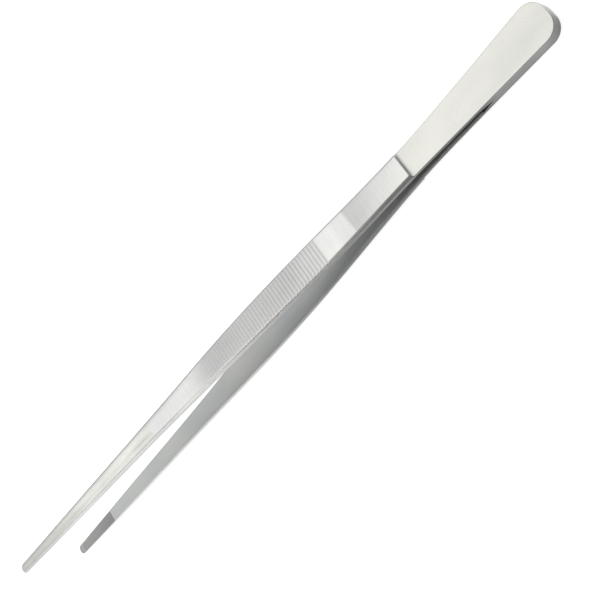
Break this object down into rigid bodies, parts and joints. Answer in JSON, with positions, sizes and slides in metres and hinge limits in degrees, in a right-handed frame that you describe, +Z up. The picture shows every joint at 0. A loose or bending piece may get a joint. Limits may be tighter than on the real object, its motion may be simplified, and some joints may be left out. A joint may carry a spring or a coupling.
{
  "type": "print tongs",
  "caption": "Long slender stainless steel tongs with sprung arms welded at a flat rounded heel, ribbed grips and toothed blunt jaws.",
  "frame": {"origin": "centre of the bounding box in plan, on the surface that the tongs lie on", "axes": "+X from the heel towards the tips, +Z up, and the arms open in the XZ plane"},
  "size_m": [0.3006, 0.0132, 0.0376],
  "materials": {
    "satin_steel": "satin"
  },
  "bodies": {
    "heel": {"heel_spacer": "satin_steel", "upper_heel_leaf": "satin_steel", "lower_heel_leaf": "satin_steel"},
    "upper_arm": {"upper_arm_grip": "satin_steel", "upper_arm_nose": "satin_steel"},
    "lower_arm": {"lower_arm_grip": "satin_steel", "lower_arm_nose": "satin_steel"}
  },
  "joints": [
    {"name": "upper_arm_spring", "type": "hinge", "parent": "heel", "child": "upper_arm", "pos_m": [-0.10335, 0, 0.00757], "axis": [0, 1, 0], "range_deg": [0, 3.35], "stiffness_Nm_per_rad": 8.5, "springref_deg": -0.23},
    {"name": "lower_arm_spring", "type": "hinge", "parent": "heel", "child": "lower_arm", "pos_m": [-0.10308, 0, 0.00329], "axis": [0, -1, 0], "range_deg": [0, 3.35], "stiffness_Nm_per_rad": 8.5, "springref_deg": -0.23}
  ],
  "couplings": [
    {"joint": "lower_arm_spring", "follows": "upper_arm_spring", "ratio": 1}
  ]
}
